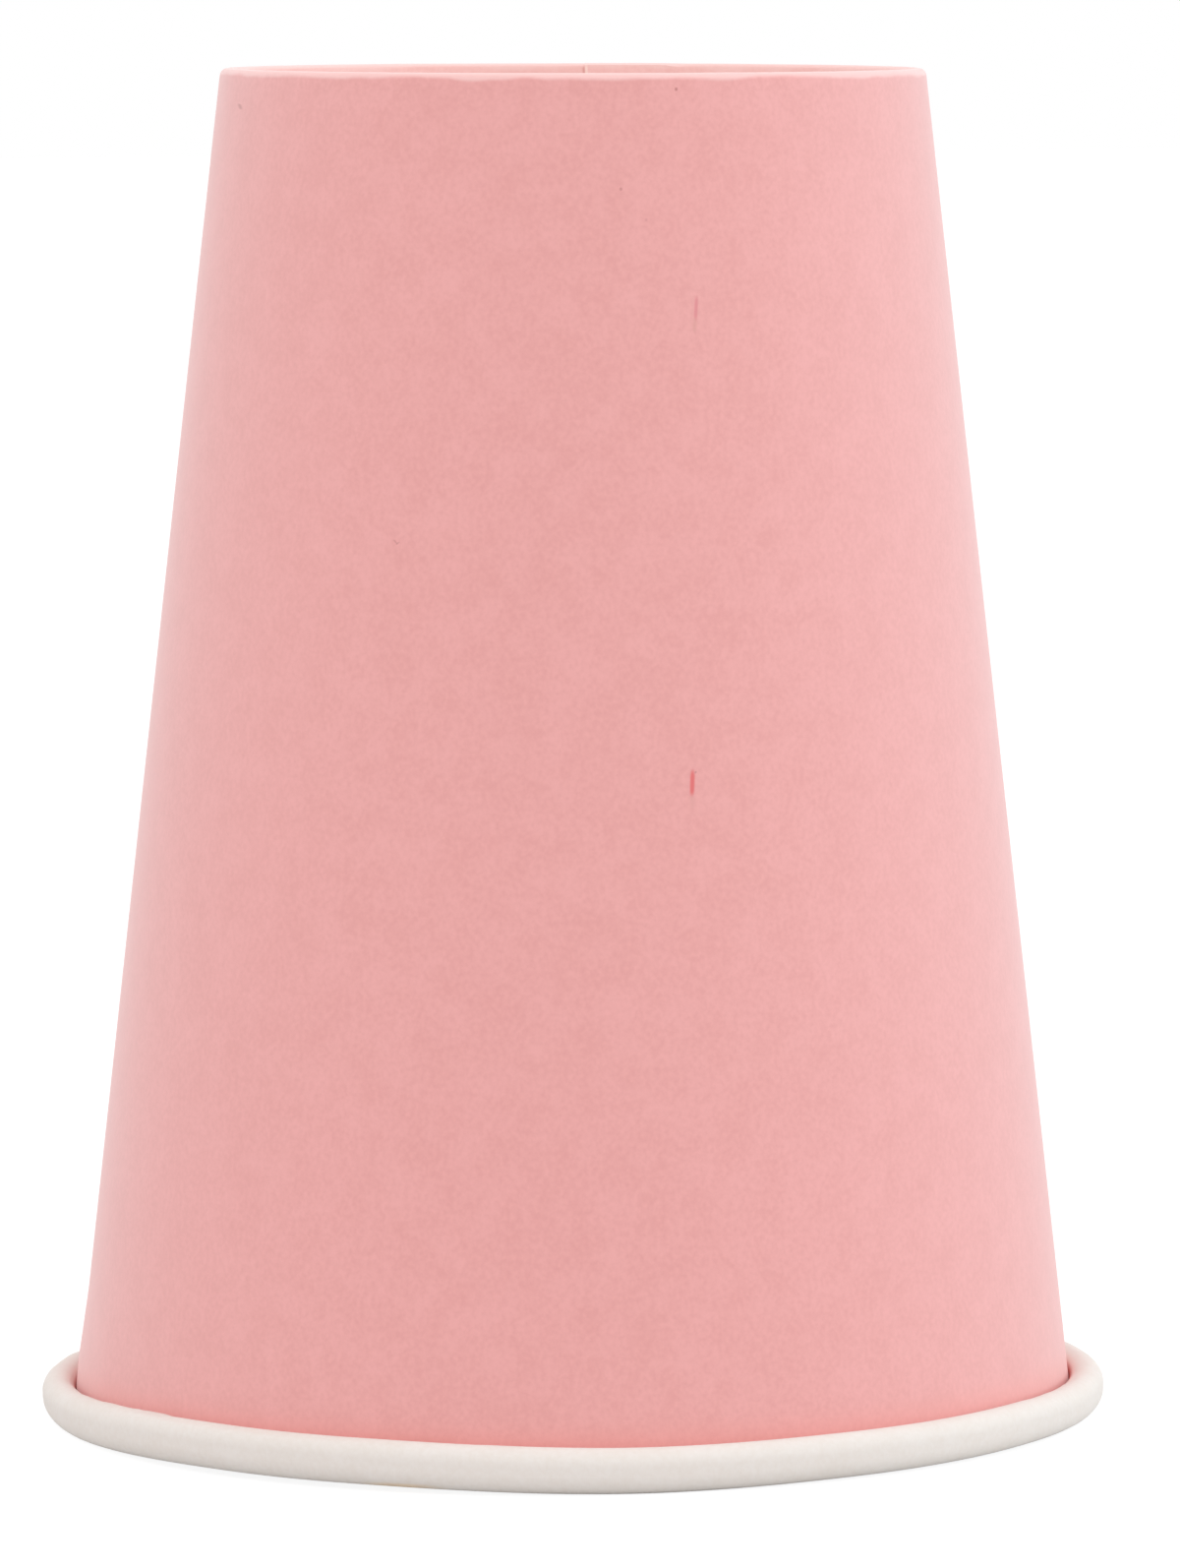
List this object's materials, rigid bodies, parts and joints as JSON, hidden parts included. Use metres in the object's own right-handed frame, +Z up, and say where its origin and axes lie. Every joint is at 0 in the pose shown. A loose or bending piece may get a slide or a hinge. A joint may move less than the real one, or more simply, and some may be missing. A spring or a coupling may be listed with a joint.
{
  "type": "paper cup",
  "caption": "Tapered single-wall paper cup with a rolled rim, a lapped side seam and a recessed base, standing upside down on its rim.",
  "frame": {"origin": "centre of the ring on which the rolled rim stands, with the cup upside down", "axes": "+Z up the cup's axis, from the rolled rim to the folded base ring; +Y through the side seam's side; +X to the right seen from the side away from the seam"},
  "size_m": [0.09, 0.09, 0.1132],
  "materials": {
    "printed_paper": "matte pale pink print outside, uncoated white at the rolled rim",
    "base_paper": "matte white"
  },
  "bodies": {
    "root": {"side_wall": "printed_paper", "base_disc": "base_paper"}
  },
  "joints": []
}
